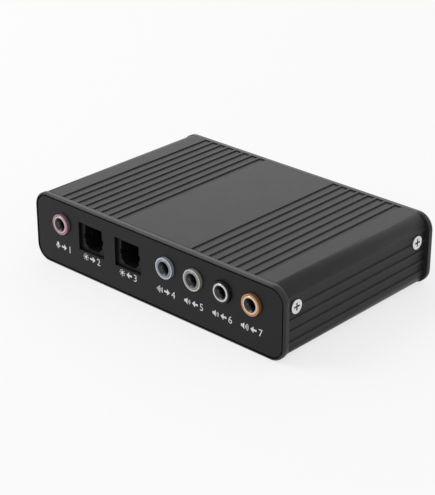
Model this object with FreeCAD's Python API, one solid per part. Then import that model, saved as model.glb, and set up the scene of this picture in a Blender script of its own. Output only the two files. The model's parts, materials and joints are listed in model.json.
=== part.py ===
"""External sound card: ribbed sleeve, two end caps, and a board with jacks, optical sockets and chips.

Millimetres. X runs along the front, Y to the rear, Z up. The origin is the middle of the underside.
"""
import FreeCAD
import Part
import os

Vector = FreeCAD.Vector

# Sleeve: an extruded tube, grooved outside and slotted inside for the board
SLEEVE_LENGTH = 69.2
SLEEVE_WALL = 2.0
SLEEVE_CORNER_R = 4.2
BORE_CORNER_CUT = 1.3
GROOVE_WIDTH = 2.6
GROOVE_LAND = 1.1
GROOVE_DEPTH = 0.4
TOP_GROOVE_COUNT = 8
TOP_PANEL_WIDTH = 30.2
SIDE_GROOVE_COUNT = 4
RAIL_HEIGHT = 1.2
RAIL_DEPTH = 1.6
RAIL_CLEARANCE = 0.2

# End caps: an open frame over the sleeve's end, a plug inside it and screw lugs
CAP_OVERHANG = 1.6
CAP_CORNER_R = 5.6
CAP_EDGE_BEVEL = 0.45
FLANGE_THICKNESS = 2.1
PLUG_LENGTH = 3.5
PLUG_WALL = 1.5
PLUG_CLEARANCE = 0.15
LUG_THICKNESS = 3.3
LUG_HEIGHT = 6.0
LUG_BEYOND_SCREW = 3.0

# Faceplates: panels with the port holes, sunk into the frames inside a narrow rim
RIM_WIDTH = 0.8
PLATE_THICKNESS = 0.8
PLATE_RECESS = 0.15
PLATE_GAP = 0.35

# Side screws: flat round heads with a cross recess, in counterbores as deep as the grooves
SCREW_INSET = 4.7
SCREW_ABOVE_BOARD = 7.4
SCREW_HEAD_R = 2.3
SCREW_HEAD_HEIGHT = 0.8
SCREW_SHANK_R = 1.3
SCREW_END_GAP = 0.5
SCREW_HOLE_CLEARANCE = 0.15
PILOT_CLEARANCE = 0.05
COUNTERBORE_DEPTH = GROOVE_DEPTH
COUNTERBORE_CLEARANCE = 0.35
CROSS_LENGTH = 2.6
CROSS_WIDTH = 0.6
CROSS_DEPTH = 0.5

# Circuit board
BOARD_THICKNESS = 1.6
BOARD_SIDE_GAP = 0.3
BOARD_END_INSET = 1.15
UNDER_BOARD_SPACE = 6.0
LEAD_STICKOUT = 1.3
LEAD_HOLE_CLEARANCE = 0.15

# Audio jacks: a housing with a round nose, a nickel bush in the nose and spring blades
JACK_WIDTH = 11.2
JACK_HEIGHT = 11.4
JACK_LENGTH = 12.0
JACK_WALL = 1.2
JACK_FRONT_WALL = 2.0
JACK_EDGE_CHAMFER = 0.5
JACK_AXIS_ABOVE_BOARD = 6.5
JACK_BEHIND_PLATE = 1.4
JACK_SIDE_GAP = 0.35
JACK_TOP_GAP = 0.35
NOSE_R = 3.6
NOSE_PROUD = 0.85
NOSE_CLEARANCE = 0.2
RING_R = 3.0
RING_PROUD = 0.1
RING_BORE_R = 1.8
RING_MOUTH_R = 2.35
RING_FUNNEL_DEPTH = 0.7
RING_OVERRUN = 0.8
RING_CLEARANCE = 0.05
BLADE_THICKNESS = 0.3
BLADE_WIDTH = 1.6
BLADE_PLUG_GAP = 0.15
BLADE_SPREAD = 1.0
BLADE_TIP_HEIGHT = 1.4
BLADE_BEND_DROP = 1.6
BLADE_ROW_GAP = 1.4
BLADE_END_GAP = 0.6

# Optical sockets: square modules behind larger square holes
OPTICAL_WIDTH = 9.7
OPTICAL_HEIGHT = 9.8
OPTICAL_LENGTH = 13.3
OPTICAL_SETBACK = 1.2
OPTICAL_HOLE_SIDE_GAP = 1.05
OPTICAL_COLLAR_OVERLAP = 0.8
OPTICAL_COLLAR_THICKNESS = 1.0
OPTICAL_HOLE_TOP_GAP = 0.1
OPTICAL_CAVITY_WIDTH = 7.9
OPTICAL_CAVITY_HEIGHT = 8.2
OPTICAL_CAVITY_DEPTH = 7.6
OPTICAL_CAVITY_CHAMFER = 1.7
OPTICAL_LATCH_DEPTH = 0.5
OPTICAL_LATCH_HEIGHT = 1.8
OPTICAL_LATCH_LENGTH = 3.0
OPTICAL_GUIDE_R = 1.6
ELEMENT_WIDTH = 5.0
ELEMENT_THICKNESS = 2.2
ELEMENT_CLEARANCE = 0.1
ELEMENT_FROM_BACK = 0.6
OPTICAL_LEAD_COUNT = 3
OPTICAL_LEAD_PITCH = 1.6
OPTICAL_LEAD_SIZE = 0.5

# Port row: the gaps between neighbours set the width of the case
MIC_TO_OPTICAL_GAP = 2.5
OPTICAL_TO_OPTICAL_GAP = 5.2
OPTICAL_TO_LINE_GAP = 5.5
JACK_TO_JACK_GAP = 0.8

# Cord inlet: type B socket, a folded can round a moulded insert
USB_X = 0.0
USB_WIDTH = 12.0
USB_HEIGHT = 10.9
USB_LENGTH = 16.2
USB_CAN_WALL = 0.35
USB_INSERT_CLEARANCE = 0.05
USB_MOUTH_WIDTH = 8.5
USB_MOUTH_HEIGHT = 7.8
USB_MOUTH_CHAMFER = 1.6
USB_MOUTH_DEPTH = 9.0
USB_TONGUE_WIDTH = 5.7
USB_TONGUE_HEIGHT = 3.2
USB_TONGUE_SETBACK = 1.0
USB_HOLE_CLEARANCE = 0.25
USB_CONTACT_WIDTH = 0.9
USB_CONTACT_THICKNESS = 0.25
USB_CONTACT_PITCH = 2.5
USB_CONTACT_SETBACK = 0.8
USB_TAIL_ROW_GAP = 1.6
USB_TAB_WIDTH = 2.2
USB_TAB_FROM_FRONT = 9.0

# Power lamp behind a hole in the rear
LAMP_X = 19.0
LAMP_ABOVE_BOARD = 5.0
LAMP_WIDTH = 5.0
LAMP_HEIGHT = 2.0
LAMP_LENGTH = 5.0
LAMP_HOLE_CLEARANCE = 0.15
LAMP_LEAD_PITCH = 2.0
LAMP_LEAD_SIZE = 0.5
LAMP_LEAD_REACH = 1.6

# Chips and small parts on the board, placed from the board's middle
CHIP_LEAD_THICKNESS = 0.15
CHIP_LEAD_REACH = 1.0
CHIP_STANDOFF = 0.1
AUDIO_CHIP_SIZE = 7.0
AUDIO_CHIP_HEIGHT = 1.4
AUDIO_CHIP_PITCH = 0.8
AUDIO_LEAD_WIDTH = 0.35
AUDIO_LEAD_COUNT = 6
AUDIO_CHIP_AT = (8.0, -2.0)
CHIP_EDGE_CHAMFER = 0.15
MEMORY_CHIP_SIZE = (5.0, 3.9)
MEMORY_CHIP_HEIGHT = 1.5
MEMORY_CHIP_PITCH = 1.27
MEMORY_LEAD_WIDTH = 0.42
MEMORY_LEAD_COUNT = 4
MEMORY_CHIP_AT = (-14.0, 6.0)
REGULATOR_SIZE = (6.5, 3.5)
REGULATOR_HEIGHT = 1.6
REGULATOR_PITCH = 2.3
REGULATOR_LEAD_WIDTH = 0.7
REGULATOR_LEAD_COUNT = 3
REGULATOR_AT = (-27.0, 7.0)
CRYSTAL_LENGTH = 11.0
CRYSTAL_WIDTH = 4.6
CRYSTAL_HEIGHT = 3.6
CRYSTAL_CORNER_CUT = 1.3
CRYSTAL_AT = (24.0, 5.0)
CAN_R = 2.5
CAN_HEIGHT = 4.6
CAN_BASE_SIZE = 5.4
CAN_BASE_HEIGHT = 0.8
CAN_BASE_CHAMFER = 1.0
CAN_EDGE_GAP = 10.1
CAN_Y = -6.0
CHIP_PART_SIZE = (1.6, 0.8, 0.6)
CHIP_PART_PITCH = 4.0
CHIP_COLUMN_COUNT = 4
CHIP_ROW_COUNT = 2
CHIP_PART_Y = -8.0
CHIP_PART_EDGE_GAP = 7.9

# How far a cutting shape runs past the face that it opens
OVERCUT = 1.0

# Least radius of a moulded corner
SMALLEST_R = 0.2

# How exactly an edge must lie along an axis or in a plane to be picked
TOLERANCE = 1e-5
SAMPLE_COUNT = 5

# Heights, worked out from the stack of wall, board and jacks
BOARD_BOTTOM = SLEEVE_WALL + UNDER_BOARD_SPACE
BOARD_TOP = BOARD_BOTTOM + BOARD_THICKNESS
JACK_AXIS_Z = BOARD_TOP + JACK_AXIS_ABOVE_BOARD
BORE_TOP = BOARD_TOP + JACK_HEIGHT + JACK_TOP_GAP + PLUG_WALL + PLUG_CLEARANCE
CASE_HEIGHT = BORE_TOP + SLEEVE_WALL
SCREW_Z = BOARD_TOP + SCREW_ABOVE_BOARD
OPTICAL_HOLE_Z = (BOARD_TOP - OPTICAL_HOLE_TOP_GAP, BOARD_TOP + OPTICAL_HEIGHT + OPTICAL_HOLE_TOP_GAP)

# Widths, worked out from the row of ports
OPTICAL_HOLE_WIDTH = OPTICAL_WIDTH + 2 * OPTICAL_HOLE_SIDE_GAP
PORT_ROW = (
    ("mic", JACK_WIDTH, 0.0),
    ("optical_in", OPTICAL_HOLE_WIDTH, MIC_TO_OPTICAL_GAP),
    ("optical_out", OPTICAL_HOLE_WIDTH, OPTICAL_TO_OPTICAL_GAP),
    ("line_in", JACK_WIDTH, OPTICAL_TO_LINE_GAP),
    ("front_out", JACK_WIDTH, JACK_TO_JACK_GAP),
    ("rear_out", JACK_WIDTH, JACK_TO_JACK_GAP),
    ("centre_out", JACK_WIDTH, JACK_TO_JACK_GAP),
)
ROW_WIDTH = sum(width + gap for _, width, gap in PORT_ROW)
BORE_WIDTH = ROW_WIDTH + 2 * (JACK_SIDE_GAP + LUG_THICKNESS + PLUG_CLEARANCE)
BOARD_HALF_WIDTH = BORE_WIDTH / 2 - BOARD_SIDE_GAP
SLEEVE_WIDTH = BORE_WIDTH + 2 * SLEEVE_WALL
CASE_WIDTH = SLEEVE_WIDTH + 2 * CAP_OVERHANG

# Depths at the front cap; the rear cap is the same, turned about Z
SLEEVE_END = SLEEVE_LENGTH / 2
FRONT_Y = -SLEEVE_END - FLANGE_THICKNESS
PLATE_FRONT_Y = FRONT_Y + PLATE_RECESS
PLATE_BACK_Y = PLATE_FRONT_Y + PLATE_THICKNESS
PLUG_END_Y = -SLEEVE_END + PLUG_LENGTH
SCREW_Y = -SLEEVE_END + SCREW_INSET
JACK_FACE_Y = PLATE_BACK_Y + JACK_BEHIND_PLATE
NOSE_TIP_Y = FRONT_Y - NOSE_PROUD
RING_TIP_Y = NOSE_TIP_Y - RING_PROUD
OPTICAL_FACE_Y = FRONT_Y + OPTICAL_SETBACK
REAR_FACE_Y = -PLATE_FRONT_Y
BOARD_END_Y = SLEEVE_END - BOARD_END_INSET


def place_ports():
    """Centres of the ports along X, from the left end of the row."""
    centres = {}
    edge = -ROW_WIDTH / 2
    for name, width, gap in PORT_ROW:
        centres[name] = edge + gap + width / 2
        edge += gap + width
    return centres


PORT_X = place_ports()
JACKS = [name for name in PORT_X if not name.startswith("optical")]
OPTICALS = [name for name in PORT_X if name.startswith("optical")]


def block(x0, x1, y0, y1, z0, z1):
    """Box between two corners."""
    return Part.makeBox(x1 - x0, y1 - y0, z1 - z0, Vector(x0, y0, z0))


def rod(start, direction, radius, length):
    """Cylinder from a point along a direction."""
    return Part.makeCylinder(radius, length, Vector(*start), Vector(*direction))


def rod_y(x, z, radius, y0, y1):
    """Cylinder along Y between two depths."""
    return rod((x, y0, z), (0, 1, 0), radius, y1 - y0)


def edges_along(shape, axis):
    """Straight edges of a shape that run along an axis."""
    direction = Vector(*axis)
    found = []
    for edge in shape.Edges:
        line = edge.Vertexes[-1].Point - edge.Vertexes[0].Point
        if line.Length and line.cross(direction).Length < line.Length * TOLERANCE:
            found.append(edge)
    return found


def edges_at(shape, axis, level):
    """Edges that lie in one plane across an axis."""
    index = "XYZ".index(axis)
    found = []
    for edge in shape.Edges:
        points = edge.discretize(SAMPLE_COUNT)
        if max(abs(point[index] - level) for point in points) < TOLERANCE:
            found.append(edge)
    return found


def inner_radius(radius, inset):
    """Corner radius that keeps a wall even, no smaller than a mould can cut."""
    return max(radius - inset, SMALLEST_R)


def rounded_bar(width, z0, z1, radius, y0, y1):
    """Bar along Y, centred on X, with round corners in its section."""
    bar = block(-width / 2, width / 2, y0, y1, z0, z1)
    return bar.makeFillet(radius, edges_along(bar, (0, 1, 0)))


def cut_cornered_bar(width, z0, z1, cut, y0, y1):
    """Bar along Y, centred on X, with its long edges cut off."""
    bar = block(-width / 2, width / 2, y0, y1, z0, z1)
    return bar.makeChamfer(cut, edges_along(bar, (0, 1, 0)))


def prism_y(points, y0, y1):
    """Closed outline of (x, z) points, drawn out along Y."""
    corners = [Vector(x, y0, z) for x, z in points]
    face = Part.Face(Part.makePolygon(corners + corners[:1]))
    return face.extrude(Vector(0, y1 - y0, 0))


def prism_x(points, x0, x1):
    """Closed outline of (y, z) points, drawn out along X."""
    corners = [Vector(x0, y, z) for y, z in points]
    face = Part.Face(Part.makePolygon(corners + corners[:1]))
    return face.extrude(Vector(x1 - x0, 0, 0))


def turned_to_rear(shape):
    """Copy of a front piece turned to the rear end."""
    copy = shape.copy()
    copy.rotate(Vector(0, 0, 0), Vector(0, 0, 1), 180)
    return copy


def lead_hole(x0, x1, y0, y1):
    """Cut through the board for a lead of the given section."""
    gap = LEAD_HOLE_CLEARANCE
    return block(x0 - gap, x1 + gap, y0 - gap, y1 + gap, BOARD_BOTTOM - OVERCUT, BOARD_TOP + OVERCUT)


def on_board(at):
    """Place a board part that was drawn at the origin."""
    return Vector(at[0], at[1], BOARD_TOP)


def moved(shape, offset):
    """Copy of a shape at an offset."""
    copy = shape.copy()
    copy.translate(offset)
    return copy


# Sleeve and its screws
RAIL_LOW = (BOARD_BOTTOM - RAIL_HEIGHT, BOARD_BOTTOM)
RAIL_HIGH = (BOARD_TOP + RAIL_CLEARANCE, BOARD_TOP + RAIL_CLEARANCE + RAIL_HEIGHT)
GROOVE_PITCH = GROOVE_WIDTH + GROOVE_LAND


def groove_cuts():
    """Cutters for the long grooves: two groups on the top, one on each side."""
    y0, y1 = -SLEEVE_END - OVERCUT, SLEEVE_END + OVERCUT
    half = SLEEVE_WIDTH / 2
    cuts = []
    for i in range(TOP_GROOVE_COUNT):
        inner = TOP_PANEL_WIDTH / 2 + i * GROOVE_PITCH
        outer = inner + GROOVE_WIDTH
        for x0, x1 in ((inner, outer), (-outer, -inner)):
            cuts.append(block(x0, x1, y0, y1, CASE_HEIGHT - GROOVE_DEPTH, CASE_HEIGHT + OVERCUT))
    lowest = CASE_HEIGHT / 2 - (SIDE_GROOVE_COUNT * GROOVE_PITCH - GROOVE_LAND) / 2
    for i in range(SIDE_GROOVE_COUNT):
        z0 = lowest + i * GROOVE_PITCH
        z1 = z0 + GROOVE_WIDTH
        cuts.append(block(half - GROOVE_DEPTH, half + OVERCUT, y0, y1, z0, z1))
        cuts.append(block(-half - OVERCUT, -half + GROOVE_DEPTH, y0, y1, z0, z1))
    return cuts


def screw_places():
    """Each screw's depth along Y and the side that it enters from."""
    return [(y, side) for y in (SCREW_Y, -SCREW_Y) for side in (1, -1)]


def make_sleeve():
    """Extrusion: round-cornered tube with board rails inside, grooves outside and four screw holes."""
    tube = rounded_bar(SLEEVE_WIDTH, 0, CASE_HEIGHT, SLEEVE_CORNER_R, -SLEEVE_END, SLEEVE_END)
    bore = cut_cornered_bar(BORE_WIDTH, SLEEVE_WALL, BORE_TOP, BORE_CORNER_CUT, -SLEEVE_END, SLEEVE_END)
    tube = tube.cut(bore)
    root = BORE_WIDTH / 2 + SLEEVE_WALL / 2
    tip = BORE_WIDTH / 2 - RAIL_DEPTH
    rails = []
    for z0, z1 in (RAIL_LOW, RAIL_HIGH):
        rails.append(block(tip, root, -SLEEVE_END, SLEEVE_END, z0, z1))
        rails.append(block(-root, -tip, -SLEEVE_END, SLEEVE_END, z0, z1))
    cuts = groove_cuts()
    for y, side in screw_places():
        face = side * SLEEVE_WIDTH / 2
        inward = (-side, 0, 0)
        through = SLEEVE_WALL + 2 * OVERCUT
        start = face + side * OVERCUT
        cuts.append(rod((start, y, SCREW_Z), inward, SCREW_SHANK_R + SCREW_HOLE_CLEARANCE, through))
        head_r = SCREW_HEAD_R + COUNTERBORE_CLEARANCE
        cuts.append(rod((start, y, SCREW_Z), inward, head_r, COUNTERBORE_DEPTH + OVERCUT))
    return tube.fuse(rails).cut(cuts).removeSplitter()


def make_screw():
    """Cross-head screw along -X, with the underside of its head at the origin."""
    seat_wall = SLEEVE_WALL - COUNTERBORE_DEPTH
    length = seat_wall + PLUG_CLEARANCE + LUG_THICKNESS - SCREW_END_GAP
    head = rod((0, 0, 0), (1, 0, 0), SCREW_HEAD_R, SCREW_HEAD_HEIGHT)
    shank = rod((0, 0, 0), (-1, 0, 0), SCREW_SHANK_R, length)
    floor = SCREW_HEAD_HEIGHT - CROSS_DEPTH
    top = SCREW_HEAD_HEIGHT + OVERCUT
    long, wide = CROSS_LENGTH / 2, CROSS_WIDTH / 2
    cross = [block(floor, top, -long, long, -wide, wide), block(floor, top, -wide, wide, -long, long)]
    return head.fuse(shank).cut(cross).removeSplitter()


def make_side_screws():
    """The four screws, each seated in its counterbore."""
    screws = []
    for y, side in screw_places():
        screw = make_screw()
        if side < 0:
            screw.rotate(Vector(0, 0, 0), Vector(0, 0, 1), 180)
        seat = side * (SLEEVE_WIDTH / 2 - COUNTERBORE_DEPTH)
        screws.append(moved(screw, Vector(seat, y, SCREW_Z)))
    return Part.makeCompound(screws)


# End caps and faceplates
PLATE_INSET = RIM_WIDTH + PLATE_GAP


def make_cap():
    """Front cap: flange with a rim, a ledge for the faceplate, a hollow plug and screw lugs."""
    flange = rounded_bar(CASE_WIDTH, 0, CASE_HEIGHT, CAP_CORNER_R, FRONT_Y, -SLEEVE_END)
    flange = flange.makeChamfer(CAP_EDGE_BEVEL, edges_at(flange, "Y", FRONT_Y))
    pocket = rounded_bar(
        CASE_WIDTH - 2 * RIM_WIDTH, RIM_WIDTH, CASE_HEIGHT - RIM_WIDTH,
        inner_radius(CAP_CORNER_R, RIM_WIDTH), FRONT_Y - OVERCUT, PLATE_BACK_Y)
    gap = PLUG_CLEARANCE
    plug = cut_cornered_bar(
        BORE_WIDTH - 2 * gap, SLEEVE_WALL + gap, BORE_TOP - gap, BORE_CORNER_CUT, -SLEEVE_END, PLUG_END_Y)
    inset = gap + PLUG_WALL
    half = BORE_WIDTH / 2 - inset
    hollow = block(
        -half, half, FRONT_Y - OVERCUT, PLUG_END_Y + OVERCUT, SLEEVE_WALL + inset, BORE_TOP - inset)
    outer = BORE_WIDTH / 2 - gap
    lug_end = SCREW_Y + LUG_BEYOND_SCREW
    lug_z = (SCREW_Z - LUG_HEIGHT / 2, SCREW_Z + LUG_HEIGHT / 2)
    notch_x = BORE_WIDTH / 2 - RAIL_DEPTH - gap
    notch_z = (RAIL_LOW[0] - gap, RAIL_HIGH[1] + gap)
    lugs, pilots, cuts = [], [], [hollow]
    for side in (1, -1):
        x0, x1 = sorted((side * (outer - LUG_THICKNESS), side * outer))
        lugs.append(block(x0, x1, -SLEEVE_END, lug_end, *lug_z))
        pilot = SCREW_SHANK_R + PILOT_CLEARANCE
        pilots.append(rod((side * (outer + OVERCUT), SCREW_Y, SCREW_Z), (-side, 0, 0), pilot,
                          LUG_THICKNESS + 2 * OVERCUT))
        x0, x1 = sorted((side * notch_x, side * (outer + OVERCUT)))
        cuts.append(block(x0, x1, -SLEEVE_END, PLUG_END_Y + OVERCUT, *notch_z))
    frame = flange.cut(pocket).fuse(plug).cut(cuts)
    return frame.fuse(lugs).cut(pilots).removeSplitter()


def make_plate_blank():
    """Faceplate before its holes."""
    return rounded_bar(
        CASE_WIDTH - 2 * PLATE_INSET, PLATE_INSET, CASE_HEIGHT - PLATE_INSET,
        inner_radius(CAP_CORNER_R, PLATE_INSET), PLATE_FRONT_Y, PLATE_BACK_Y)


def front_holes():
    """Cutters for the jack noses and the optical sockets."""
    y0, y1 = FRONT_Y - OVERCUT, PLATE_BACK_Y + OVERCUT
    cuts = [rod_y(PORT_X[name], JACK_AXIS_Z, NOSE_R + NOSE_CLEARANCE, y0, y1) for name in JACKS]
    half = OPTICAL_HOLE_WIDTH / 2
    return cuts + [
        block(PORT_X[name] - half, PORT_X[name] + half, y0, y1, *OPTICAL_HOLE_Z) for name in OPTICALS]


def rear_holes():
    """Cutters for the cord inlet and the lamp."""
    y0, y1 = -PLATE_BACK_Y - OVERCUT, -FRONT_Y + OVERCUT
    gap = USB_HOLE_CLEARANCE
    inlet = block(USB_X - USB_WIDTH / 2 - gap, USB_X + USB_WIDTH / 2 + gap, y0, y1,
                  BOARD_TOP - gap, BOARD_TOP + USB_HEIGHT + gap)
    return [inlet, lamp_block(LAMP_HOLE_CLEARANCE, y0, y1)]


# Audio jacks
JACK_CHAMBER_HALF = JACK_WIDTH / 2 - JACK_WALL
BLADE_ROOT = RING_BORE_R + BLADE_PLUG_GAP + BLADE_SPREAD
RING_END_Y = JACK_FACE_Y + JACK_FRONT_WALL + RING_OVERRUN


def make_jack_body(x):
    """Housing with a round nose, a bore for the bush and a chamber open to the board."""
    back = JACK_FACE_Y + JACK_LENGTH
    top = BOARD_TOP + JACK_HEIGHT
    shell = block(x - JACK_WIDTH / 2, x + JACK_WIDTH / 2, JACK_FACE_Y, back, BOARD_TOP, top)
    shell = shell.makeChamfer(JACK_EDGE_CHAMFER, edges_at(shell, "Z", top))
    nose = rod_y(x, JACK_AXIS_Z, NOSE_R, NOSE_TIP_Y, JACK_FACE_Y + JACK_FRONT_WALL)
    chamber = block(
        x - JACK_CHAMBER_HALF, x + JACK_CHAMBER_HALF,
        JACK_FACE_Y + JACK_FRONT_WALL, back - JACK_WALL, BOARD_TOP - OVERCUT, top - JACK_WALL)
    bore = rod_y(x, JACK_AXIS_Z, RING_R + RING_CLEARANCE, NOSE_TIP_Y - OVERCUT,
                 JACK_FACE_Y + JACK_FRONT_WALL + OVERCUT)
    return shell.fuse(nose).cut([chamber, bore]).removeSplitter()


def make_jack_ring(x):
    """Nickel bush, a little proud of the nose, with a funnel at its mouth."""
    bush = rod_y(x, JACK_AXIS_Z, RING_R, RING_TIP_Y, RING_END_Y)
    bore = rod_y(x, JACK_AXIS_Z, RING_BORE_R, RING_TIP_Y, RING_END_Y)
    funnel = Part.makeCone(
        RING_MOUTH_R, RING_BORE_R, RING_FUNNEL_DEPTH, Vector(x, RING_TIP_Y, JACK_AXIS_Z), Vector(0, 1, 0))
    return bush.cut([bore, funnel]).removeSplitter()


def blade_places():
    """Depth and side of the two spring blades: one for the plug's tip, one for the ring before it."""
    last = JACK_FACE_Y + JACK_LENGTH - JACK_WALL - BLADE_END_GAP - BLADE_WIDTH
    return ((last, 1), (last - BLADE_ROW_GAP - BLADE_WIDTH, -1))


def blade_section(x, side):
    """Outline of a spring blade that bends in towards the plug."""
    near = RING_BORE_R + BLADE_PLUG_GAP
    line = [
        (BLADE_ROOT, BOARD_BOTTOM - LEAD_STICKOUT),
        (BLADE_ROOT, JACK_AXIS_Z - BLADE_BEND_DROP),
        (near, JACK_AXIS_Z),
        (BLADE_ROOT, JACK_AXIS_Z + BLADE_TIP_HEIGHT),
    ]
    outer = [(distance + BLADE_THICKNESS, z) for distance, z in reversed(line)]
    return [(x + side * distance, z) for distance, z in line + outer]


def strap_box():
    """Depth and height of the strap that stands under the bush."""
    return RING_END_Y - BLADE_THICKNESS, RING_END_Y, JACK_AXIS_Z - RING_R - RING_CLEARANCE


def make_jack_contacts(x):
    """Two spring blades beside the plug's path, and the strap under the bush."""
    pieces = [prism_y(blade_section(x, side), y, y + BLADE_WIDTH) for y, side in blade_places()]
    y0, y1, top = strap_box()
    half = BLADE_WIDTH / 2
    pieces.append(block(x - half, x + half, y0, y1, BOARD_BOTTOM - LEAD_STICKOUT, top))
    return Part.makeCompound(pieces)


def jack_lead_holes(x):
    """Cuts in the board for one jack's contacts."""
    holes = []
    for y, side in blade_places():
        x0, x1 = sorted((x + side * BLADE_ROOT, x + side * (BLADE_ROOT + BLADE_THICKNESS)))
        holes.append(lead_hole(x0, x1, y, y + BLADE_WIDTH))
    y0, y1, _ = strap_box()
    holes.append(lead_hole(x - BLADE_WIDTH / 2, x + BLADE_WIDTH / 2, y0, y1))
    return holes


# Optical sockets
OPTICAL_AXIS_Z = BOARD_TOP + OPTICAL_HEIGHT / 2
OPTICAL_BACK_Y = OPTICAL_FACE_Y + OPTICAL_LENGTH
ELEMENT_BACK_Y = OPTICAL_BACK_Y - ELEMENT_FROM_BACK
ELEMENT_FRONT_Y = ELEMENT_BACK_Y - ELEMENT_THICKNESS


def make_optical_body(x):
    """Square module: collar behind the hole, keyed mouth with latch notches, guide hole and rear pocket."""
    half, front = OPTICAL_WIDTH / 2, OPTICAL_FACE_Y
    shell = block(x - half, x + half, front, OPTICAL_BACK_Y, BOARD_TOP, BOARD_TOP + OPTICAL_HEIGHT)
    wide, tall = OPTICAL_CAVITY_WIDTH / 2, OPTICAL_CAVITY_HEIGHT / 2
    key = OPTICAL_CAVITY_CHAMFER
    mouth_end = front + OPTICAL_CAVITY_DEPTH
    mouth = prism_y([
        (x - wide, OPTICAL_AXIS_Z + tall), (x + wide, OPTICAL_AXIS_Z + tall),
        (x + wide, OPTICAL_AXIS_Z - tall + key), (x + wide - key, OPTICAL_AXIS_Z - tall),
        (x - wide + key, OPTICAL_AXIS_Z - tall), (x - wide, OPTICAL_AXIS_Z - tall + key),
    ], front - OVERCUT, mouth_end)
    latch = wide + OPTICAL_LATCH_DEPTH
    notch = block(x - latch, x + latch, front - OVERCUT, front + OPTICAL_LATCH_LENGTH,
                  OPTICAL_AXIS_Z - OPTICAL_LATCH_HEIGHT / 2, OPTICAL_AXIS_Z + OPTICAL_LATCH_HEIGHT / 2)
    guide = rod_y(x, OPTICAL_AXIS_Z, OPTICAL_GUIDE_R, mouth_end - OVERCUT, ELEMENT_FRONT_Y)
    wide = ELEMENT_WIDTH / 2 + ELEMENT_CLEARANCE
    pocket = block(x - wide, x + wide, ELEMENT_FRONT_Y, OPTICAL_BACK_Y + OVERCUT,
                   BOARD_TOP - OVERCUT, OPTICAL_AXIS_Z + wide)
    edge = OPTICAL_COLLAR_OVERLAP
    collar_half = OPTICAL_HOLE_WIDTH / 2 + edge
    collar = block(x - collar_half, x + collar_half, front, front + OPTICAL_COLLAR_THICKNESS,
                   OPTICAL_HOLE_Z[0] - edge, OPTICAL_HOLE_Z[1] + edge)
    return shell.fuse(collar).cut([mouth, notch, guide, pocket]).removeSplitter()


def make_optical_element(x):
    """Moulded light element, whose flat front closes the guide hole."""
    half = ELEMENT_WIDTH / 2
    return block(x - half, x + half, ELEMENT_FRONT_Y, ELEMENT_BACK_Y,
                 OPTICAL_AXIS_Z - half, OPTICAL_AXIS_Z + half)


def optical_lead_spots(x):
    """Sections of the leads under an element."""
    half = OPTICAL_LEAD_SIZE / 2
    y = (ELEMENT_FRONT_Y + ELEMENT_BACK_Y) / 2
    first = x - OPTICAL_LEAD_PITCH * (OPTICAL_LEAD_COUNT - 1) / 2
    centres = [first + i * OPTICAL_LEAD_PITCH for i in range(OPTICAL_LEAD_COUNT)]
    return [(centre - half, centre + half, y - half, y + half) for centre in centres]


def make_optical_leads(x):
    """Straight leads from the element down through the board."""
    top = OPTICAL_AXIS_Z - ELEMENT_WIDTH / 2
    low = BOARD_BOTTOM - LEAD_STICKOUT
    return Part.makeCompound([block(*spot, low, top) for spot in optical_lead_spots(x)])


# Cord inlet
USB_AXIS_Z = BOARD_TOP + USB_HEIGHT / 2
USB_BACK_Y = REAR_FACE_Y - USB_LENGTH
USB_MOUTH_END_Y = REAR_FACE_Y - USB_MOUTH_DEPTH
USB_TAB_Y = REAR_FACE_Y - USB_TAB_FROM_FRONT


def usb_tabs():
    """Sections of the can's two board tabs."""
    outer, inner = USB_WIDTH / 2, USB_WIDTH / 2 - USB_CAN_WALL
    y0, y1 = USB_TAB_Y - USB_TAB_WIDTH / 2, USB_TAB_Y + USB_TAB_WIDTH / 2
    return [(USB_X + inner, USB_X + outer, y0, y1), (USB_X - outer, USB_X - inner, y0, y1)]


def make_usb_shell():
    """Folded can: open to the rear and to the board, with a tab each side."""
    half = USB_WIDTH / 2
    can = block(USB_X - half, USB_X + half, USB_BACK_Y, REAR_FACE_Y, BOARD_TOP, BOARD_TOP + USB_HEIGHT)
    half -= USB_CAN_WALL
    inside = block(USB_X - half, USB_X + half, USB_BACK_Y + USB_CAN_WALL, REAR_FACE_Y + OVERCUT,
                   BOARD_TOP - OVERCUT, BOARD_TOP + USB_HEIGHT - USB_CAN_WALL)
    tabs = [block(*spot, BOARD_BOTTOM - LEAD_STICKOUT, BOARD_TOP + USB_CAN_WALL) for spot in usb_tabs()]
    return can.cut(inside).fuse(tabs).removeSplitter()


def usb_contact_paths():
    """Places of the four contacts: X centre, side of the tongue, depth of the tail row."""
    back = USB_BACK_Y + USB_CAN_WALL + USB_INSERT_CLEARANCE
    rows = ((1, back + USB_TAIL_ROW_GAP), (-1, back + 2 * USB_TAIL_ROW_GAP))
    offset = USB_CONTACT_PITCH / 2
    return [(USB_X + shift, side, tail_y) for side, tail_y in rows for shift in (-offset, offset)]


def usb_contact_sections():
    """Sections of the contacts' tails where they pass the board."""
    half = USB_CONTACT_WIDTH / 2
    return [(x - half, x + half, y, y + USB_CONTACT_THICKNESS) for x, _, y in usb_contact_paths()]


def make_usb_contacts():
    """Strips along both faces of the tongue, bent down behind it into the board."""
    start = REAR_FACE_Y - USB_TONGUE_SETBACK - USB_CONTACT_SETBACK
    low = BOARD_BOTTOM - LEAD_STICKOUT
    pieces = []
    for x, side, tail_y in usb_contact_paths():
        face = USB_AXIS_Z + side * USB_TONGUE_HEIGHT / 2
        z0, z1 = sorted((face, face - side * USB_CONTACT_THICKNESS))
        tail_end = tail_y + USB_CONTACT_THICKNESS
        strip = prism_x([
            (start, z1), (tail_y, z1), (tail_y, low), (tail_end, low), (tail_end, z0), (start, z0),
        ], x - USB_CONTACT_WIDTH / 2, x + USB_CONTACT_WIDTH / 2)
        pieces.append(strip)
    return Part.makeCompound(pieces)


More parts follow.
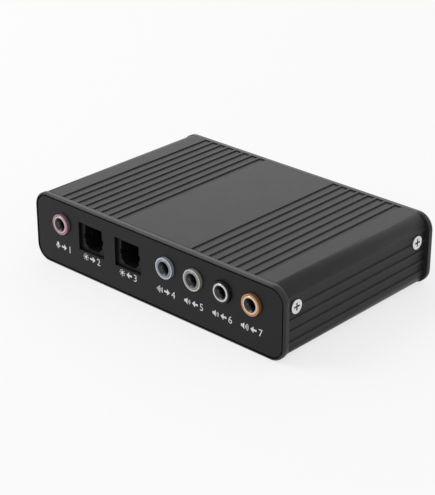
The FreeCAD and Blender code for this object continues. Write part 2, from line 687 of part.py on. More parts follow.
def make_usb_insert():
    """Moulding that fills the can: keyed mouth with a tongue, moulded round the contacts."""
    gap = USB_CAN_WALL + USB_INSERT_CLEARANCE
    half = USB_WIDTH / 2 - gap
    body = block(USB_X - half, USB_X + half, USB_BACK_Y + gap, REAR_FACE_Y, BOARD_TOP,
                 BOARD_TOP + USB_HEIGHT - gap)
    wide, tall, key = USB_MOUTH_WIDTH / 2, USB_MOUTH_HEIGHT / 2, USB_MOUTH_CHAMFER
    mouth = prism_y([
        (USB_X - wide, USB_AXIS_Z - tall), (USB_X + wide, USB_AXIS_Z - tall),
        (USB_X + wide, USB_AXIS_Z + tall - key), (USB_X + wide - key, USB_AXIS_Z + tall),
        (USB_X - wide + key, USB_AXIS_Z + tall), (USB_X - wide, USB_AXIS_Z + tall - key),
    ], USB_MOUTH_END_Y, REAR_FACE_Y + OVERCUT)
    wide, tall = USB_TONGUE_WIDTH / 2, USB_TONGUE_HEIGHT / 2
    tongue = block(USB_X - wide, USB_X + wide, USB_MOUTH_END_Y - USB_CAN_WALL,
                   REAR_FACE_Y - USB_TONGUE_SETBACK, USB_AXIS_Z - tall, USB_AXIS_Z + tall)
    return body.cut(mouth).fuse(tongue).cut(make_usb_contacts().Solids).removeSplitter()


# Power lamp
LAMP_Z = BOARD_TOP + LAMP_ABOVE_BOARD
LAMP_BACK_Y = REAR_FACE_Y - LAMP_LENGTH


def lamp_block(gap, y0, y1):
    """The lamp's section, grown by a gap all round, between two depths."""
    wide, tall = LAMP_WIDTH / 2 + gap, LAMP_HEIGHT / 2 + gap
    return block(LAMP_X - wide, LAMP_X + wide, y0, y1, LAMP_Z - tall, LAMP_Z + tall)


def make_power_lamp():
    """Flat lamp whose end shows in the rear hole."""
    return lamp_block(0, LAMP_BACK_Y, REAR_FACE_Y)


def lamp_lead_spots():
    """Sections of the lamp's leads where they pass the board."""
    half = LAMP_LEAD_SIZE / 2
    y1 = LAMP_BACK_Y - LAMP_LEAD_REACH
    offset = LAMP_LEAD_PITCH / 2
    centres = (LAMP_X - offset, LAMP_X + offset)
    return [(centre - half, centre + half, y1 - LAMP_LEAD_SIZE, y1) for centre in centres]


def make_power_lamp_leads():
    """Two leads from the lamp's base, bent down into the board."""
    low, half = BOARD_BOTTOM - LEAD_STICKOUT, LAMP_LEAD_SIZE / 2
    pieces = []
    for x0, x1, y0, y1 in lamp_lead_spots():
        pieces.append(prism_x([
            (y0, low), (y1, low), (y1, LAMP_Z - half), (LAMP_BACK_Y, LAMP_Z - half),
            (LAMP_BACK_Y, LAMP_Z + half), (y0, LAMP_Z + half),
        ], x0, x1))
    return Part.makeCompound(pieces)


# Chips and small parts
CAN_AT = (CAN_EDGE_GAP - BOARD_HALF_WIDTH, CAN_Y)


def chip_body(size_x, size_y, height, at):
    """Moulded chip, lifted by its leads, with bevelled top edges."""
    body = block(-size_x / 2, size_x / 2, -size_y / 2, size_y / 2, CHIP_STANDOFF, CHIP_STANDOFF + height)
    body = body.makeChamfer(CHIP_EDGE_CHAMFER, edges_at(body, "Z", CHIP_STANDOFF + height))
    return moved(body, on_board(at))


def slanted_lead(depth, height, width):
    """Lead in the YZ plane, from a chip face at the given depth, sloping out and down to the board."""
    mid, toe = CHIP_STANDOFF + height / 2, depth + CHIP_LEAD_REACH
    return prism_x([
        (depth, mid), (toe, CHIP_LEAD_THICKNESS), (toe, 0), (depth, mid - CHIP_LEAD_THICKNESS),
    ], -width / 2, width / 2)


def lead_row(count, pitch, depth, height, width, turn):
    """Evenly spaced leads along one side of a chip, turned about Z to that side."""
    leads = []
    for i in range(count):
        lead = slanted_lead(depth, height, width)
        lead.translate(Vector((i - (count - 1) / 2) * pitch, 0, 0))
        lead.rotate(Vector(0, 0, 0), Vector(0, 0, 1), turn)
        leads.append(lead)
    return leads


def make_audio_chip():
    """Square audio controller."""
    return chip_body(AUDIO_CHIP_SIZE, AUDIO_CHIP_SIZE, AUDIO_CHIP_HEIGHT, AUDIO_CHIP_AT)


def make_audio_chip_leads():
    """Leads on all four sides of the controller."""
    leads = []
    for turn in (0, 90, 180, 270):
        leads += lead_row(AUDIO_LEAD_COUNT, AUDIO_CHIP_PITCH, AUDIO_CHIP_SIZE / 2, AUDIO_CHIP_HEIGHT,
                          AUDIO_LEAD_WIDTH, turn)
    return moved(Part.makeCompound(leads), on_board(AUDIO_CHIP_AT))


def two_sided_leads(count, pitch, size, height, width, at):
    """Leads on the two long sides of a chip."""
    leads = []
    for turn in (0, 180):
        leads += lead_row(count, pitch, size[1] / 2, height, width, turn)
    return moved(Part.makeCompound(leads), on_board(at))


def make_crystal():
    """Clock crystal: a long can with cut corners."""
    long, wide = CRYSTAL_LENGTH / 2, CRYSTAL_WIDTH / 2
    can = block(-long, long, -wide, wide, 0, CRYSTAL_HEIGHT)
    can = can.makeChamfer(CRYSTAL_CORNER_CUT, edges_along(can, (0, 0, 1)))
    return moved(can, on_board(CRYSTAL_AT))


def make_capacitor():
    """Round can, standing on its base."""
    return moved(rod((0, 0, CAN_BASE_HEIGHT), (0, 0, 1), CAN_R, CAN_HEIGHT), on_board(CAN_AT))


def make_capacitor_base():
    """Square plastic foot with two corners cut off."""
    half, cut = CAN_BASE_SIZE / 2, CAN_BASE_CHAMFER
    corners = [(-half, -half), (half, -half), (half, half - cut), (half - cut, half), (-half + cut, half),
               (-half, half - cut)]
    points = [Vector(x, y, 0) for x, y in corners]
    base = Part.Face(Part.makePolygon(points + points[:1])).extrude(Vector(0, 0, CAN_BASE_HEIGHT))
    return moved(base, on_board(CAN_AT))


def make_chip_parts():
    """Small resistors and capacitors in a grid."""
    long, wide, tall = CHIP_PART_SIZE
    last = BOARD_HALF_WIDTH - CHIP_PART_EDGE_GAP
    pieces = []
    for row in range(CHIP_ROW_COUNT):
        for column in range(CHIP_COLUMN_COUNT):
            at = (last - column * CHIP_PART_PITCH, CHIP_PART_Y + row * CHIP_PART_PITCH)
            piece = block(-long / 2, long / 2, -wide / 2, wide / 2, 0, tall)
            pieces.append(moved(piece, on_board(at)))
    return Part.makeCompound(pieces)


def make_circuit_board():
    """Board in the sleeve's rails, with a hole for every lead."""
    half = BOARD_HALF_WIDTH
    board = block(-half, half, -BOARD_END_Y, BOARD_END_Y, BOARD_BOTTOM, BOARD_TOP)
    holes = []
    for name in JACKS:
        holes += jack_lead_holes(PORT_X[name])
    for name in OPTICALS:
        holes += [lead_hole(*spot) for spot in optical_lead_spots(PORT_X[name])]
    for spot in usb_tabs() + usb_contact_sections() + lamp_lead_spots():
        holes.append(lead_hole(*spot))
    return board.cut(holes)


def make_parts():
    """Every piece of the sound card by node name."""
    cap = make_cap()
    plate = make_plate_blank()
    parts = {
        "sleeve": make_sleeve(),
        "side_screws": make_side_screws(),
        "front_cap": cap,
        "front_faceplate": plate.cut(front_holes()),
        "rear_cap": turned_to_rear(cap),
        "rear_faceplate": turned_to_rear(plate).cut(rear_holes()),
        "circuit_board": make_circuit_board(),
        "usb_shell": make_usb_shell(),
        "usb_insert": make_usb_insert(),
        "usb_contacts": make_usb_contacts(),
        "power_lamp": make_power_lamp(),
        "power_lamp_leads": make_power_lamp_leads(),
        "audio_chip": make_audio_chip(),
        "audio_chip_leads": make_audio_chip_leads(),
        "memory_chip": chip_body(*MEMORY_CHIP_SIZE, MEMORY_CHIP_HEIGHT, MEMORY_CHIP_AT),
        "memory_chip_leads": two_sided_leads(MEMORY_LEAD_COUNT, MEMORY_CHIP_PITCH, MEMORY_CHIP_SIZE,
                                             MEMORY_CHIP_HEIGHT, MEMORY_LEAD_WIDTH, MEMORY_CHIP_AT),
        "regulator": chip_body(*REGULATOR_SIZE, REGULATOR_HEIGHT, REGULATOR_AT),
        "regulator_leads": two_sided_leads(REGULATOR_LEAD_COUNT, REGULATOR_PITCH, REGULATOR_SIZE,
                                           REGULATOR_HEIGHT, REGULATOR_LEAD_WIDTH, REGULATOR_AT),
        "crystal": make_crystal(),
        "capacitor": make_capacitor(),
        "capacitor_base": make_capacitor_base(),
        "chip_parts": make_chip_parts(),
    }
    for name in JACKS:
        parts["jack_" + name + "_body"] = make_jack_body(PORT_X[name])
        parts["jack_" + name + "_ring"] = make_jack_ring(PORT_X[name])
        parts["jack_" + name + "_contacts"] = make_jack_contacts(PORT_X[name])
    for name in OPTICALS:
        parts[name + "_body"] = make_optical_body(PORT_X[name])
        parts[name + "_element"] = make_optical_element(PORT_X[name])
        parts[name + "_leads"] = make_optical_leads(PORT_X[name])
    return parts


os.makedirs("parts", exist_ok=True)
for node, shape in make_parts().items():
    shape.exportStep("parts/" + node + ".step")
print("case", round(CASE_WIDTH, 3), round(2 * -FRONT_Y, 3), round(CASE_HEIGHT, 3))
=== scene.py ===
"""Looks of the sound card: finishes, printed port marks, floor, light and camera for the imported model."""
import json
import math

import bpy
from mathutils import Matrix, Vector


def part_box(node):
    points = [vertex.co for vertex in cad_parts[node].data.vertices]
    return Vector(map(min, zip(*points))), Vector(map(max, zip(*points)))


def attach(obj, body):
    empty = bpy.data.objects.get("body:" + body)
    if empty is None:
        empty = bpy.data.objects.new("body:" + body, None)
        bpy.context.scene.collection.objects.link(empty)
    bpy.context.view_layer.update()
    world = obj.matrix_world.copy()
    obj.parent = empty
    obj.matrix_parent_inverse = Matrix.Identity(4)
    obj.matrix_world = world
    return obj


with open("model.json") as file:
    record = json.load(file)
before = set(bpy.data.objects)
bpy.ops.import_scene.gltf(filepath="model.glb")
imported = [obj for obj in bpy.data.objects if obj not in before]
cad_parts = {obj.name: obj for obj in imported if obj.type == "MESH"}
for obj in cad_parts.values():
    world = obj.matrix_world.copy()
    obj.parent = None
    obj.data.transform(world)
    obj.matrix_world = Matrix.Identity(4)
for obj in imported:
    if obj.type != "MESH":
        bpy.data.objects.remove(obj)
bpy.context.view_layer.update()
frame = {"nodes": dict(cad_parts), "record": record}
NODES = frame["nodes"]
SUBPARTS = frame["record"]["subparts"]
BODY = "root"
MM = 0.001

JACKS = ("mic", "line_in", "front_out", "rear_out", "centre_out")
OPTICALS = ("optical_in", "optical_out")

# Camera: the photograph's viewpoint, for a picture of this height in pixels
PICTURE_HEIGHT = 495
FOCAL_PIXELS = 1526.76
SENSOR = 36.0
CAMERA_AZIMUTH = math.radians(42.854)
CAMERA_ELEVATION = math.radians(25.547)
CAMERA_DISTANCE = 510.64 * MM
CAMERA_TARGET = Vector((-5.866 * MM, 0, 6.416 * MM))
CAMERA_NEAR = 0.01
CAMERA_FAR = 20

# Light: what the world gives matt surfaces, and the soft lamps with their place, diameter and power
WORLD_LEVEL = 0.7
SOFTBOXES = {
    "key": ((-0.6, -0.43, 0.66), 0.6, 3.0),
    "rear": ((-0.75, 0.8, 0.5), 0.8, 1.4),
}

# Floor: half its width in metres, its finish, and the share of it that glows instead of being lit
FLOOR_HALF = 3.0
FLOOR_WHITE = 0.92
FLOOR_ROUGHNESS = 0.9
FLOOR_GLOW = 0.72

# Finishes: character of their noise, the middle range of its values that is used, and how much bluer
# than red and green a grey is
NOISE_DETAIL = 3.0
NOISE_ROUGHNESS = 0.55
NOISE_RANGE = (0.3, 0.7)
GREY_BLUE = 1.03

# Rounding: how close corners are joined, and which edges are rounded in how many steps
WELD_REACH = 0.001 * MM
BEVEL_ANGLE = math.radians(40)
BEVEL_SEGMENTS = 2

# Faces with a finish of their own: one looks sideways where its normal's y is below this
SIDEWAYS = 0.1

# Jacks: the share of a bush's radius inside which its bore and funnel get a painted shade, how much of
# their colour a bush's darker blotches keep, how much of its plastic's colour the painted shade on the side
# of a nose keeps, and how squarely such a side looks outwards
BUSH_RIM_SHARE = 0.82
BUSH_SHADE = 0.94
NOSE_SIDE_PAINTED_SHADE = 0.36
NOSE_OUTWARD = 0.9

# Cross recesses of the screws, which get a painted shade: their share of a head's radius, and the depths
# between which they lie
RECESS_SHARE = 0.7
RECESS_DEPTHS = (0.02 * MM, 0.75 * MM)

# How far from a faceplate's edge the walls of the gap round it lie, which get a painted shadow
GAP_REACH = 1.5 * MM

# Printed marks: height over the floor and gap in millimetres, scale, and how far they lie off the plate
MARK_Z = 6.5
MARK_GAP = 0.6
MARK_SCALE = 1.12
MARK_LIFT = 0.01 * MM

# Glyphs of the marks: size of the digits and middle of the pictograms in millimetres, steps of their
# curves, and the ways a signal can go
DIGIT_SIZE = 3.1
GLYPH_MIDDLE = 1.1
ARC_STEPS = 10
DISC_STEPS = 24
INTO, OUT_OF = "into", "out of"


# Shader helpers
def new_material(name):
    """Empty material with its Principled shader."""
    material = bpy.data.materials.new(name)
    material.use_nodes = True
    tree = material.node_tree
    return material, tree, tree.nodes["Principled BSDF"]


def place(tree, size):
    """Object coordinates in units of a grain that is size = (x, y, z) millimetres long."""
    coordinates = tree.nodes.new("ShaderNodeTexCoord")
    mapping = tree.nodes.new("ShaderNodeMapping")
    mapping.inputs["Scale"].default_value = [1 / (length * MM) for length in size]
    tree.links.new(coordinates.outputs["Object"], mapping.inputs["Vector"])
    return mapping.outputs["Vector"]


def noise(tree, size):
    """Noise whose grain is size = (x, y, z) millimetres long."""
    texture = tree.nodes.new("ShaderNodeTexNoise")
    texture.inputs["Scale"].default_value = 1.0
    texture.inputs["Detail"].default_value = NOISE_DETAIL
    texture.inputs["Roughness"].default_value = NOISE_ROUGHNESS
    tree.links.new(place(tree, size), texture.inputs["Vector"])
    return texture.outputs["Fac"]


def spread(tree, value, low, high):
    """Maps the middle of a noise to the range from low to high."""
    remap = tree.nodes.new("ShaderNodeMapRange")
    remap.inputs["From Min"].default_value = NOISE_RANGE[0]
    remap.inputs["From Max"].default_value = NOISE_RANGE[1]
    remap.inputs["To Min"].default_value = low
    remap.inputs["To Max"].default_value = high
    tree.links.new(value, remap.inputs["Value"])
    return remap.outputs["Result"]


def blend_colours(tree, value, first, second):
    """Colour between two, by a noise."""
    mix = tree.nodes.new("ShaderNodeMix")
    mix.data_type = "RGBA"
    tree.links.new(spread(tree, value, 0.0, 1.0), mix.inputs["Factor"])
    mix.inputs["A"].default_value = (*first, 1)
    mix.inputs["B"].default_value = (*second, 1)
    return mix.outputs["Result"]


def add_bump(tree, shader, height, depth):
    """Bump from a height, depth in millimetres."""
    bump = tree.nodes.new("ShaderNodeBump")
    bump.inputs["Strength"].default_value = 1.0
    bump.inputs["Distance"].default_value = depth * MM
    tree.links.new(height, bump.inputs["Height"])
    tree.links.new(bump.outputs["Normal"], shader.inputs["Normal"])


def finish_material(name, dark, light, rough, grain, bump, blotch=(6, 6, 6), metallic=0.0, level=0.5):
    """Material with blotches of colour, uneven gloss and a fine bump."""
    material, tree, shader = new_material(name)
    colour = blend_colours(tree, noise(tree, blotch), dark, light)
    tree.links.new(colour, shader.inputs["Base Color"])
    fine = noise(tree, grain)
    tree.links.new(spread(tree, fine, *rough), shader.inputs["Roughness"])
    add_bump(tree, shader, fine, bump)
    shader.inputs["Metallic"].default_value = metallic
    shader.inputs["Specular IOR Level"].default_value = level
    return material


def grey(value):
    """Neutral colour with a trace of blue."""
    return (value, value, value * GREY_BLUE)


def shade(colour, share):
    """Colour that keeps a share of another."""
    return [share * part for part in colour]


def even(size):
    """The same size along x, y and z."""
    return (size, size, size)


# Finishes by name: the colours of the blotches, the range of roughness, the level of gloss, and in
# millimetres the grain and depth of the bump and the size of the blotches
FINISHES = {
    # Case
    "anodised_black": dict(
        dark=grey(0.027), light=grey(0.032), rough=(0.36, 0.44), level=0.14,
        grain=(0.12, 6.0, 0.12), bump=0.003),
    "cap_plastic": dict(
        dark=grey(0.022), light=grey(0.027), rough=(0.32, 0.40), level=0.26,
        grain=even(0.16), bump=0.005),
    "faceplate_plastic": dict(
        dark=grey(0.008), light=grey(0.010), rough=(0.34, 0.42), level=0.19,
        grain=even(0.12), bump=0.003),
    # Painted shadow for the walls of the gap between a cap's rim and its faceplate
    "gap_painted_shadow": dict(
        dark=grey(0.002), light=grey(0.003), rough=(0.8, 0.9), level=0.05,
        grain=even(0.2), bump=0.002),
    "screw_steel": dict(
        dark=grey(0.64), light=grey(0.78), rough=(0.22, 0.34), metallic=1.0,
        grain=even(0.2), bump=0.004, blotch=even(1)),
    # Painted shade for the screws' cross recesses
    "screw_recess_painted_shade": dict(
        dark=grey(0.20), light=grey(0.30), rough=(0.30, 0.42), metallic=1.0,
        grain=even(0.2), bump=0.004, blotch=even(1)),
    "mark_ink": dict(
        dark=grey(0.66), light=grey(0.78), rough=(0.45, 0.6),
        grain=even(0.08), bump=0.002, blotch=even(0.4)),

    # Connectors
    "jack_black": dict(
        dark=grey(0.006), light=grey(0.009), rough=(0.32, 0.42), level=0.25,
        grain=even(0.1), bump=0.002),
    # Painted shade for the bores and funnels inside the jacks' bushes
    "bush_bore_painted_shade": dict(
        dark=grey(0.20), light=grey(0.32), rough=(0.24, 0.36), metallic=1.0,
        grain=even(0.2), bump=0.004, blotch=even(0.8)),
    "bush_funnel_painted_shade": dict(
        dark=grey(0.045), light=grey(0.07), rough=(0.26, 0.38), metallic=1.0,
        grain=even(0.2), bump=0.004, blotch=even(0.8)),
    "contact_metal": dict(
        dark=(0.68, 0.50, 0.22), light=(0.78, 0.60, 0.30), rough=(0.22, 0.34), metallic=1.0,
        grain=even(0.2), bump=0.002, blotch=even(1)),
    "socket_black": dict(
        dark=grey(0.006), light=grey(0.008), rough=(0.36, 0.48), level=0.2,
        grain=even(0.14), bump=0.004),
    "lens_smoke": dict(
        dark=(0.05, 0.02, 0.025), light=(0.07, 0.03, 0.035), rough=(0.08, 0.14),
        grain=even(0.4), bump=0.001),
    "tinned_steel": dict(
        dark=grey(0.56), light=grey(0.66), rough=(0.26, 0.38), metallic=1.0,
        grain=(0.1, 2.0, 0.1), bump=0.003, blotch=even(2)),
    "lamp_clear": dict(
        dark=(0.50, 0.60, 0.52), light=(0.56, 0.66, 0.58), rough=(0.10, 0.18),
        grain=even(0.4), bump=0.002),

    # Board
    "board_green": dict(
        dark=(0.010, 0.10, 0.035), light=(0.014, 0.14, 0.05), rough=(0.24, 0.34),
        grain=even(0.3), bump=0.004, blotch=even(3)),
    "lead_tin": dict(
        dark=grey(0.60), light=grey(0.70), rough=(0.28, 0.42), metallic=1.0,
        grain=even(0.1), bump=0.003, blotch=even(1)),
    "chip_black": dict(
        dark=grey(0.014), light=grey(0.019), rough=(0.50, 0.62),
        grain=even(0.08), bump=0.004),
    "can_aluminium": dict(
        dark=grey(0.68), light=grey(0.78), rough=(0.20, 0.30), metallic=1.0,
        grain=(0.1, 0.1, 2.0), bump=0.002, blotch=even(2)),
    "chip_part_tan": dict(
        dark=(0.24, 0.14, 0.07), light=(0.32, 0.20, 0.11), rough=(0.4, 0.5),
        grain=even(0.1), bump=0.003, blotch=even(0.5)),
}

# Coloured plastics of the jacks, with darker copies as a painted shade for the sides of their noses
JACK_PLASTICS = {
    "jack_pink": ((0.40, 0.21, 0.24), (0.45, 0.245, 0.275)),
    "jack_blue": ((0.50, 0.55, 0.65), (0.56, 0.61, 0.71)),
    "jack_green": ((0.53, 0.54, 0.49), (0.59, 0.60, 0.55)),
    "jack_orange": ((0.50, 0.22, 0.065), (0.57, 0.265, 0.085)),
}
for plastic, (deep, pale) in JACK_PLASTICS.items():
    FINISHES[plastic] = dict(
        dark=deep, light=pale, rough=(0.30, 0.40), grain=even(0.1), bump=0.002)
    FINISHES[plastic + "_side"] = dict(
        dark=shade(deep, NOSE_SIDE_PAINTED_SHADE), light=shade(pale, NOSE_SIDE_PAINTED_SHADE),
        rough=(0.40, 0.50), level=0.25, grain=even(0.1), bump=0.002)

# Plated bushes, which take on some of their jack's colour
BUSH_SLOT = "nickel"
BUSH_TINTS = {
    "mic": (0.56, 0.43, 0.46), "line_in": (0.25, 0.275, 0.31), "front_out": (0.26, 0.265, 0.25),
    "rear_out": (0.62, 0.62, 0.61), "centre_out": (0.72, 0.57, 0.43),
}
for name, tint in BUSH_TINTS.items():
    FINISHES["nickel_" + name] = dict(
        dark=shade(tint, BUSH_SHADE), light=tint, rough=(0.18, 0.26), metallic=1.0,
        grain=even(0.3), bump=0.002, blotch=even(1))

MATERIALS = {name: finish_material(name, **finish) for name, finish in FINISHES.items()}

# Widths in millimetres by which sharp edges are rounded
EDGE_ROUNDING = {
    "sleeve": 0.26, "front_cap": 0.2, "rear_cap": 0.2, "front_faceplate": 0.08, "rear_faceplate": 0.08,
    "side_screws": 0.2, "usb_shell": 0.08, "usb_insert": 0.1, "power_lamp": 0.2,
}
for name in JACKS:
    EDGE_ROUNDING["jack_" + name + "_body"] = 0.16
    EDGE_ROUNDING["jack_" + name + "_ring"] = 0.2
for name in OPTICALS:
    EDGE_ROUNDING[name + "_body"] = 0.08


# Finishes and edges of the CAD nodes
def dress(node, finish):
    """Gives a CAD node one finish all over."""
    data = NODES[node].data
    data.materials.clear()
    data.materials.append(MATERIALS[finish])


def soften(node, width):
    """Rounds a node's sharp edges by a width in millimetres."""
    item = NODES[node]
    weld = item.modifiers.new("weld", "WELD")
    weld.merge_threshold = WELD_REACH
    bevel = item.modifiers.new("edges", "BEVEL")
    bevel.width = width * MM
    bevel.segments = BEVEL_SEGMENTS
    bevel.limit_method = "ANGLE"
    bevel.angle_limit = BEVEL_ANGLE
    bevel.harden_normals = True


def paint(node, finish, wanted):
    """Gives a node's faces, where a test of their centre and normal picks them, a finish of their own."""
    data = NODES[node].data
    data.materials.append(MATERIALS[finish])
    index = len(data.materials) - 1
    for face in data.polygons:
        if wanted(face.center, face.normal):
            face.material_index = index


def finish_bush(name):
    """Gives a jack's bush its tint, and its bore and funnel a painted shade in darker metal."""
    node = "jack_" + name + "_ring"
    low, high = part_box(node)
    axis = (low + high) / 2
    rim = (high.z - low.z) / 2 * BUSH_RIM_SHARE

    def inside(centre):
        return math.hypot(centre.x - axis.x, centre.z - axis.z) < rim

    dress(node, "nickel_" + name)
    paint(node, "bush_bore_painted_shade", lambda centre, normal: inside(centre) and abs(normal.y) <= SIDEWAYS)
    paint(node, "bush_funnel_painted_shade", lambda centre, normal: inside(centre) and abs(normal.y) > SIDEWAYS)


def shade_nose(node, plastic):
    """Gives the side of a jack's nose a painted shade, a darker copy of its plastic."""
    low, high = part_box(node.replace("_body", "_ring"))
    axis = (low + high) / 2

    def on_side(centre, normal):
        away = Vector((centre.x - axis.x, 0, centre.z - axis.z))
        round_bush = away.length > high.x - axis.x and centre.y < high.y
        return round_bush and normal.dot(away.normalized()) > NOSE_OUTWARD

    paint(node, plastic + "_side", on_side)


def darken_recesses():
    """Gives the cross recesses of the screws a painted shade in darker metal."""
    low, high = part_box("side_screws")
    head = (high.z - low.z) / 2

    def in_recess(centre, _):
        reach = math.hypot(abs(centre.y) - (high.y - head), centre.z - (high.z - head))
        depth = high.x - abs(centre.x)
        return reach < RECESS_SHARE * head and RECESS_DEPTHS[0] < depth < RECESS_DEPTHS[1]

    paint("side_screws", "screw_recess_painted_shade", in_recess)


def darken_gap(cap, plate):
    """Gives the walls of the narrow gap between a cap's rim and its faceplate a painted shadow in dull
    black.
    """
    low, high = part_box(plate)
    middle = (low + high) / 2

    def in_gap(centre, normal, inward):
        x, z = centre.x, centre.z - middle.z
        beside = abs(normal.y) < SIDEWAYS and abs(centre.y - middle.y) < GAP_REACH
        at_rim = max(abs(x) - high.x, abs(z) - (high.z - middle.z)) > -GAP_REACH
        return beside and at_rim and (normal.x * x + normal.z * z < 0) == inward

    paint(cap, "gap_painted_shadow", lambda centre, normal: in_gap(centre, normal, True))
    paint(plate, "gap_painted_shadow", lambda centre, normal: in_gap(centre, normal, False))


for part in SUBPARTS:
    if part["material_slot"] != BUSH_SLOT:
        dress(part["node"], part["material_slot"])
for node, width in EDGE_ROUNDING.items():
    soften(node, width)
# Painted shade: bores and funnels of the bushes, sides of the noses, cross recesses of the screws, and the
# gaps round the faceplates
for name in JACKS:
    finish_bush(name)
for part in SUBPARTS:
    if part["material_slot"] in JACK_PLASTICS:
        shade_nose(part["node"], part["material_slot"])
darken_recesses()
for end in ("front", "rear"):
    darken_gap(end + "_cap", end + "_faceplate")


def add_object(name, data):
    """Puts an object with its data into the scene."""
    item = bpy.data.objects.new(name, data)
    bpy.context.scene.collection.objects.link(item)
    return item


# Printed port marks: pictogram, arrow and number under each port, flat on the front faceplate.
# A glyph is a list of outlines in millimetres, and its width.
def arc(x, z, radius, start, end, steps=ARC_STEPS):
    """Points of an arc between two angles in degrees."""
    angles = [math.radians(start + (end - start) * i / steps) for i in range(steps + 1)]
    return [(x + radius * math.cos(a), z + radius * math.sin(a)) for a in angles]


def disc(x, z, radius):
    """Outline of a disc."""
    return arc(x, z, radius, 0, 360, DISC_STEPS)[:-1]


def arc_band(x, z, inner, outer, start, end, steps=ARC_STEPS):
    """Outline of a part of a ring, between two angles in degrees."""
    return arc(x, z, outer, start, end, steps) + arc(x, z, inner, end, start, steps)


def bar(x0, x1, z0, z1):
    """Outline of a rectangle."""
    return [(x0, z0), (x1, z0), (x1, z1), (x0, z1)]


def microphone():
    """Capsule in a cradle on a stem."""
    width, top, bottom = 2.0, 1.7, 1.2
    middle = width / 2
    capsule = arc(middle, top, 0.45, 0, 180) + arc(middle, bottom, 0.45, 180, 360)
    cradle = arc_band(middle, bottom, 0.65, 0.9, 180, 360)
    stem = bar(0.87, 1.13, 0.0, 0.28)
    return [capsule, cradle, stem], width


def light_source():
    """Dot with rays all round."""
    centre = (GLYPH_MIDDLE, GLYPH_MIDDLE)
    ray_start, ray_end, ray_pitch, half_ray = 0.75, 1.1, 45, 9
    rays = [
        arc_band(*centre, ray_start, ray_end, angle - half_ray, angle + half_ray, 2)
        for angle in range(0, 360, ray_pitch)]
    return [disc(*centre, 0.5)] + rays, 2 * ray_end


def wave():
    """Signal as bars of different heights."""
    pitch, thick = 0.5, 0.28
    heights = (0.6, 1.4, 2.2, 1.0, 1.7)
    bars = [
        bar(pitch * i, pitch * i + thick, GLYPH_MIDDLE - height / 2, GLYPH_MIDDLE + height / 2)
        for i, height in enumerate(heights)]
    return bars, 2.3


def speaker(waves=2):
    """Loudspeaker with sound waves."""
    first, thick, pitch, half_angle = 0.5, 0.22, 0.45, 42
    cone = [(0, 0.7), (0.5, 0.7), (1.2, 0.1), (1.2, 2.1), (0.5, 1.5), (0, 1.5)]
    radii = [first + pitch * i for i in range(waves)]
    arcs = [
        arc_band(1.1, GLYPH_MIDDLE, radius, radius + thick, -half_angle, half_angle) for radius in radii]
    return [cone] + arcs, 1.45 + pitch * waves


def arrow(way):
    """Arrow to the right for a signal that goes in, and to the left for one that goes out."""
    length, neck = 2.2, 1.1
    points = [
        (0, 0.8), (neck, 0.8), (neck, 0.1), (length, GLYPH_MIDDLE), (neck, 2.1), (neck, 1.4), (0, 1.4)]
    if way == OUT_OF:
        points = [(length - x, z) for x, z in points]
    return [points], length


def number(digit):
    """Triangles of one digit of the built-in font, as outlines."""
    curve = bpy.data.curves.new("digit", "FONT")
    curve.body = str(digit)
    curve.size = DIGIT_SIZE
    text = bpy.data.objects.new("digit", curve)
    mesh = bpy.data.meshes.new_from_object(text)
    corners = [(vertex.co.x, vertex.co.y) for vertex in mesh.vertices]
    pieces = [[corners[i] for i in face.vertices] for face in mesh.polygons]
    bpy.data.objects.remove(text)
    bpy.data.curves.remove(curve)
    bpy.data.meshes.remove(mesh)
    return pieces, max(x for x, _ in corners)


def middle(node):
    """X of a node's middle in millimetres."""
    low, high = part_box(node)
    return (low.x + high.x) / 2 / MM


MARK_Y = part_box("front_faceplate")[0].y - MARK_LIFT


def print_mark(name, port, pictogram, way, digit):
    """Prints a pictogram, an arrow and a number under a port, centred on its node."""
    glyphs = (pictogram, arrow(way), number(digit))
    length = sum(wide for _, wide in glyphs) + MARK_GAP * (len(glyphs) - 1)
    left = middle(port) - MARK_SCALE * length / 2
    points, faces = [], []
    for outlines, wide in glyphs:
        for outline in outlines:
            faces.append(list(range(len(points), len(points) + len(outline))))
            for x, z in outline:
                points.append(((left + MARK_SCALE * x) * MM, MARK_Y, (MARK_Z + MARK_SCALE * z) * MM))
        left += MARK_SCALE * (wide + MARK_GAP)
    mesh = bpy.data.meshes.new(name)
    mesh.from_pydata(points, [], faces)
    mesh.materials.append(MATERIALS["mark_ink"])
    mark = add_object(name, mesh)
    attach(mark, BODY)


print_mark("mark_mic", "jack_mic_ring", microphone(), INTO, 1)
print_mark("mark_optical_in", "optical_in_body", light_source(), INTO, 2)
print_mark("mark_optical_out", "optical_out_body", light_source(), OUT_OF, 3)
print_mark("mark_line_in", "jack_line_in_ring", wave(), INTO, 4)
print_mark("mark_front_out", "jack_front_out_ring", speaker(), OUT_OF, 5)
print_mark("mark_rear_out", "jack_rear_out_ring", speaker(), OUT_OF, 6)
print_mark("mark_centre_out", "jack_centre_out_ring", speaker(3), OUT_OF, 7)


# Stage: floor, light and camera
def shows_backdrop(tree):
    """Factor that is 1 for what is seen directly, in a reflection or through glass."""
    path = tree.nodes.new("ShaderNodeLightPath")
    total = path.outputs["Is Camera Ray"]
    for kind in ("Is Glossy Ray", "Is Transmission Ray"):
        highest = tree.nodes.new("ShaderNodeMath")
        highest.operation = "MAXIMUM"
        tree.links.new(total, highest.inputs[0])
        tree.links.new(path.outputs[kind], highest.inputs[1])
        total = highest.outputs["Value"]
    return total


def make_world():
    """White backdrop, which gives less light to matt surfaces."""
    world = bpy.data.worlds.new("studio")
    bpy.context.scene.world = world
    world.use_nodes = True
    tree = world.node_tree
    strength = tree.nodes.new("ShaderNodeMix")
    tree.links.new(shows_backdrop(tree), strength.inputs["Factor"])
    strength.inputs["A"].default_value = WORLD_LEVEL
    strength.inputs["B"].default_value = 1.0
    background = tree.nodes["Background"]
    background.inputs["Color"].default_value = (1, 1, 1, 1)
    tree.links.new(strength.outputs["Result"], background.inputs["Strength"])


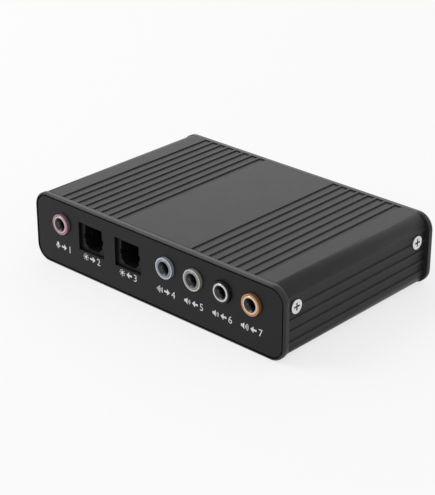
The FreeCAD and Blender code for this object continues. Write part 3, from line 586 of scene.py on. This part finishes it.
def floor_material():
    """Matt white, of which a share glows for what is seen and leaves the rest to light and shadow."""
    material, tree, shader = new_material("floor")
    shader.inputs["Base Color"].default_value = (*even(FLOOR_WHITE), 1)
    shader.inputs["Roughness"].default_value = FLOOR_ROUGHNESS
    shader.inputs["Specular IOR Level"].default_value = 0.0
    glow = tree.nodes.new("ShaderNodeEmission")
    mix = tree.nodes.new("ShaderNodeMixShader")
    share = tree.nodes.new("ShaderNodeMath")
    share.operation = "MULTIPLY"
    share.inputs[1].default_value = FLOOR_GLOW
    tree.links.new(shows_backdrop(tree), share.inputs[0])
    tree.links.new(share.outputs["Value"], mix.inputs["Fac"])
    tree.links.new(shader.outputs["BSDF"], mix.inputs[1])
    tree.links.new(glow.outputs["Emission"], mix.inputs[2])
    tree.links.new(mix.outputs["Shader"], tree.nodes["Material Output"].inputs["Surface"])
    return material


def make_floor():
    """Pale floor that keeps a soft shadow."""
    half = FLOOR_HALF
    mesh = bpy.data.meshes.new("floor")
    corners = [(-half, -half, 0), (half, -half, 0), (half, half, 0), (-half, half, 0)]
    mesh.from_pydata(corners, [], [(0, 1, 2, 3)])
    mesh.materials.append(floor_material())
    floor = add_object("floor", mesh)


def aim(item, direction):
    """Turns a lamp or camera to look along a direction."""
    item.rotation_mode = "QUATERNION"
    item.rotation_quaternion = direction.to_track_quat("-Z", "Y")


def add_softbox(name, spot, size, power):
    """Round area lamp that looks at the object."""
    data = bpy.data.lights.new(name, "AREA")
    data.shape = "DISK"
    data.size = size
    data.energy = power
    lamp = add_object(name, data)
    lamp.location = spot
    aim(lamp, -Vector(spot))


def make_camera():
    """Camera at the photograph's viewpoint."""
    data = bpy.data.cameras.new("camera")
    data.sensor_width = SENSOR
    data.lens = SENSOR * FOCAL_PIXELS / PICTURE_HEIGHT
    data.clip_start = CAMERA_NEAR
    data.clip_end = CAMERA_FAR
    camera = add_object("camera", data)
    flat = math.cos(CAMERA_ELEVATION)
    back = Vector((
        math.sin(CAMERA_AZIMUTH) * flat, -math.cos(CAMERA_AZIMUTH) * flat, math.sin(CAMERA_ELEVATION)))
    camera.location = CAMERA_TARGET + back * CAMERA_DISTANCE
    aim(camera, -back)
    bpy.context.scene.camera = camera


make_world()
make_floor()
for name, (spot, size, power) in SOFTBOXES.items():
    add_softbox(name, spot, size, power)
make_camera()
bpy.context.scene.view_settings.view_transform = "Standard"
